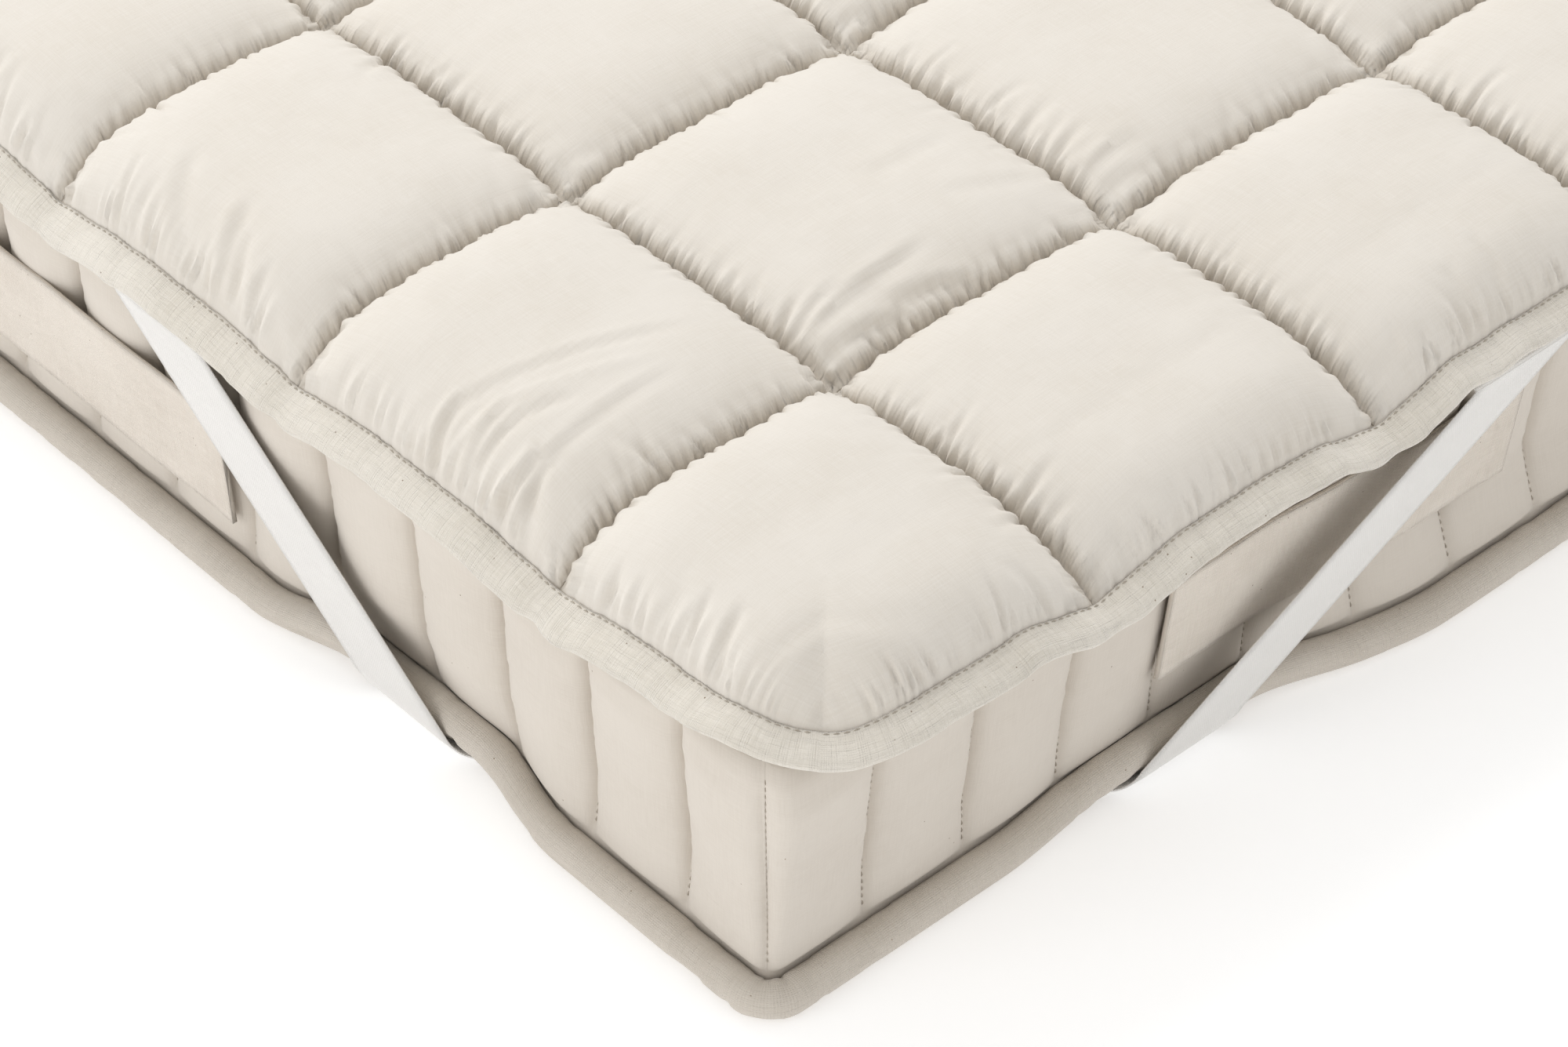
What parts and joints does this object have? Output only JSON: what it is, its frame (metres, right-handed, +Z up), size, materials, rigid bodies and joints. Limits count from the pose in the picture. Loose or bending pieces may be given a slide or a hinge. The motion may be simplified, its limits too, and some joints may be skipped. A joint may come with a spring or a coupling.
{
  "type": "quilted mattress pad on a mattress",
  "caption": "Square-quilted mattress pad with bound edge and elastic corner bands, lying on a plain mattress with a channelled border, bottom roll and cloth handles.",
  "frame": {"origin": "on the floor under the middle of the bed", "axes": "+X across the bed, +Y along it, +Z up"},
  "size_m": [1.4, 2, 0.1991],
  "materials": {
    "quilting": "unbleached cotton percale, quilted and puffed",
    "binding": "soft brushed cotton tape, sewn twice",
    "elastic": "white woven elastic",
    "border": "plain cotton ticking sewn in upright channels",
    "roll": "plain cotton over a firm roll",
    "canvas": "natural cotton canvas with seed flecks"
  },
  "bodies": {
    "root": {"pad": "quilting", "pad_binding": "binding", "elastic_band_1": "elastic", "elastic_band_2": "elastic", "elastic_band_3": "elastic", "elastic_band_4": "elastic", "mattress": "border", "mattress_roll": "roll", "handle_1": "canvas", "handle_2": "canvas", "handle_3": "canvas", "handle_4": "canvas", "handle_5": "canvas", "handle_6": "canvas", "handle_7": "canvas", "handle_8": "canvas"}
  },
  "joints": []
}
